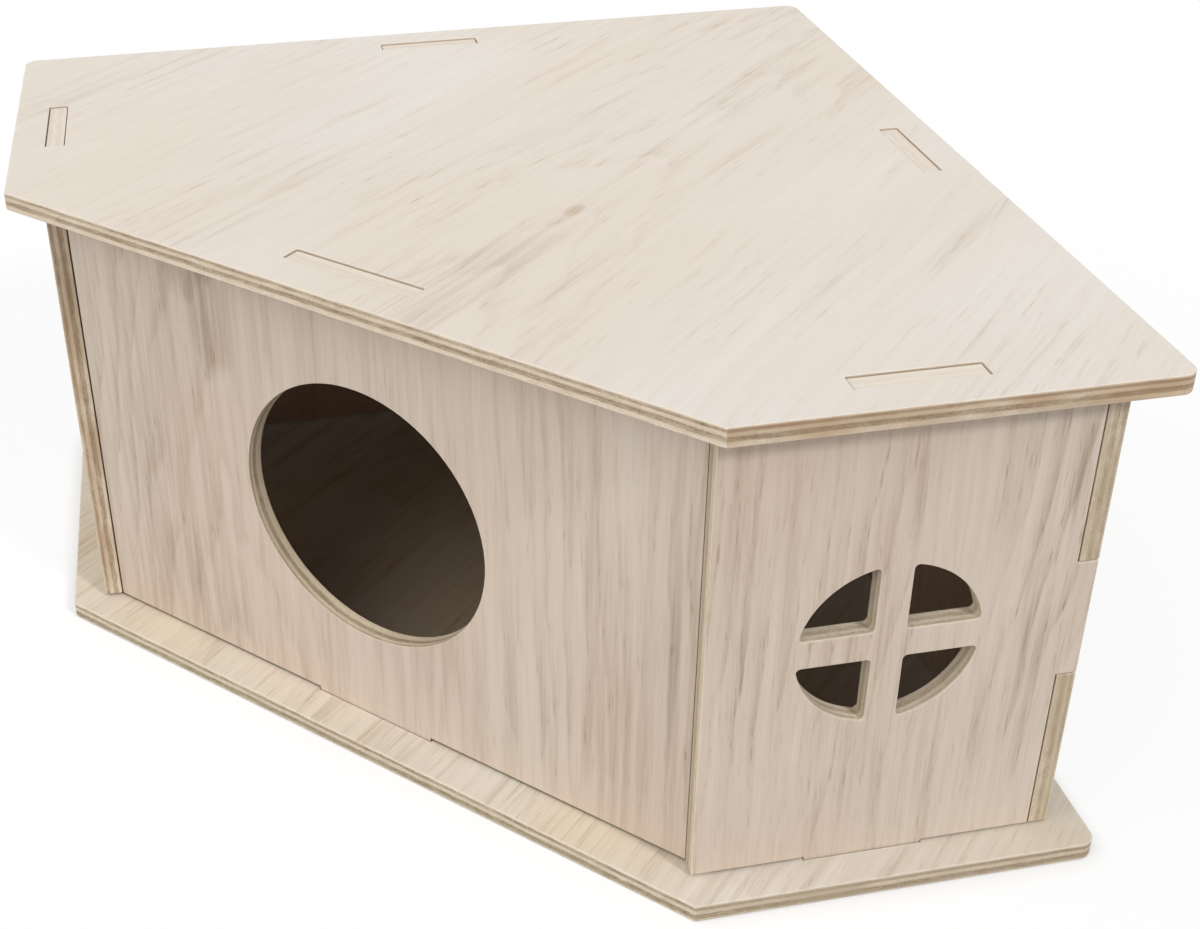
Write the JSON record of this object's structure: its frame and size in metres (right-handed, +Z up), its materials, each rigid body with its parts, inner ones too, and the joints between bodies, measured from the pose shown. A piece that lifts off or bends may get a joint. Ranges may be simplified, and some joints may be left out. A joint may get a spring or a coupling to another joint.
{
  "type": "hedgehog house",
  "caption": "Corner hide for a hedgehog: plywood panels held by tabs and finger joints, with a round doorway in the diagonal front, barred round windows at the sides and a lift-off roof.",
  "frame": {"origin": "on the underside of the base, at the centre of the outline's box", "axes": "+X to the right seen from the front, +Y from the doorway to the rear corner, +Z up"},
  "size_m": [0.363, 0.2564, 0.143],
  "materials": {
    "base_wood": "bare pale oak veneer plywood, matt",
    "roof_wood": "bare washed oak veneer plywood, matt",
    "wall_wood": "bare grey-beige oak veneer plywood, matt"
  },
  "bodies": {
    "base": {"base_panel": "base_wood"},
    "walls": {"front_wall": "wall_wood", "left_side_wall": "wall_wood", "right_side_wall": "wall_wood", "rear_left_wall": "wall_wood", "rear_right_wall": "wall_wood"},
    "roof": {"roof_panel": "roof_wood"}
  },
  "joints": [
    {"name": "wall_lift", "type": "slide", "parent": "base", "child": "walls", "axis": [0, 0, 1], "range_m": [0, 0.15]},
    {"name": "roof_lift", "type": "slide", "parent": "walls", "child": "roof", "axis": [0, 0, 1], "range_m": [0, 0.15]}
  ]
}
